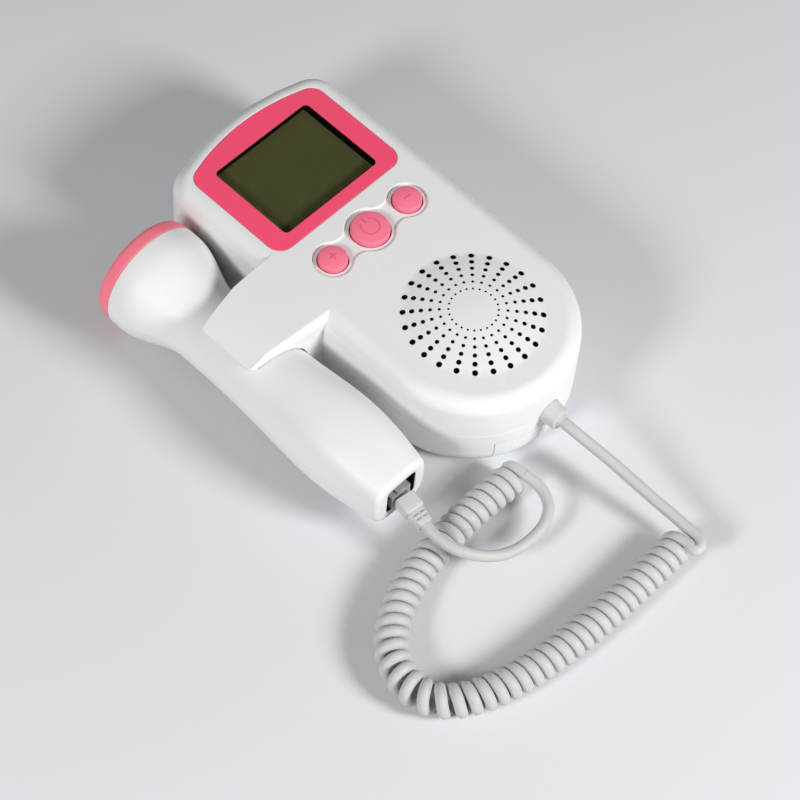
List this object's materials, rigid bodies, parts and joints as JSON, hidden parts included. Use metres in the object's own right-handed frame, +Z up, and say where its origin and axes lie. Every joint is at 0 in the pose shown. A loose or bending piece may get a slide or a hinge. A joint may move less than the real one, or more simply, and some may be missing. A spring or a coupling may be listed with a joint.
{
  "type": "fetal_doppler_monitor",
  "caption": "Handheld fetal doppler monitor: white housing with a display, three keys and a round grille, and a probe in a side clip on a curly cord",
  "frame": {"origin": "middle of the flat back of the main housing, on the surface it lies on", "axes": "+X to the right seen from the front, the probe's clip on the -X side; +Y towards the display end; +Z up out of the front face"},
  "size_m": [0.1282, 0.198, 0.0374],
  "materials": {
    "shell_white": "satin",
    "frame_pink": "satin",
    "key_pink": "satin",
    "head_pink": "satin",
    "clear_pane": "polished",
    "display_dark": "polished",
    "diffuser": "matte",
    "board_green": "satin",
    "part_black": "matte",
    "steel": "satin",
    "foam_grey": "matte",
    "cone_grey": "matte",
    "cell_blue": "satin",
    "cord_grey": "satin",
    "plug_clear": "polished",
    "contact_gold": "polished"
  },
  "bodies": {
    "main_unit": {"front_housing": "shell_white", "rear_housing": "shell_white", "display_frame": "frame_pink", "window_pane": "clear_pane", "display_glass": "display_dark", "backlight": "diffuser", "main_board": "board_green", "board_parts": "part_black", "board_screws": "steel", "housing_screws": "steel", "tact_switches": "steel", "speaker_gasket": "foam_grey", "speaker_basket": "steel", "speaker_cone": "cone_grey", "speaker_magnet": "steel", "battery_left": "cell_blue", "battery_right": "cell_blue", "battery_contacts": "steel", "cord_gland": "cord_grey", "unit_lead": "cord_grey", "coil_cord": "cord_grey", "probe_lead": "cord_grey"},
    "power_button": {"power_key": "key_pink", "power_plunger": "part_black"},
    "volume_up_button": {"volume_up_key": "key_pink", "volume_up_plunger": "part_black"},
    "volume_down_button": {"volume_down_key": "key_pink", "volume_down_plunger": "part_black"},
    "door": {"battery_door": "shell_white"},
    "probe": {"plug_grip": "cord_grey", "plug_tip": "plug_clear", "plug_contacts": "contact_gold", "probe_socket": "part_black", "socket_pins": "contact_gold", "probe_upper_shell": "shell_white", "probe_lower_shell": "shell_white", "probe_face": "head_pink", "transducer_discs": "contact_gold", "disc_carrier": "foam_grey", "probe_board": "board_green", "probe_parts": "part_black", "probe_screws": "steel"}
  },
  "joints": [
    {"name": "power_press", "type": "slide", "parent": "main_unit", "child": "power_button", "axis": [0, 0, -1], "range_m": [0, 0.0006], "stiffness_N_per_m": 2500},
    {"name": "volume_up_press", "type": "slide", "parent": "main_unit", "child": "volume_up_button", "axis": [0, 0, -1], "range_m": [0, 0.0006], "stiffness_N_per_m": 2500},
    {"name": "volume_down_press", "type": "slide", "parent": "main_unit", "child": "volume_down_button", "axis": [0, 0, -1], "range_m": [0, 0.0006], "stiffness_N_per_m": 2500},
    {"name": "door_slide", "type": "slide", "parent": "main_unit", "child": "door", "axis": [0, -1, 0], "range_m": [0, 0.002]},
    {"name": "probe_release", "type": "slide", "parent": "main_unit", "child": "probe", "axis": [-1, 0, 0], "range_m": [0, 0.03], "deforming": ["probe_lead"]}
  ]
}
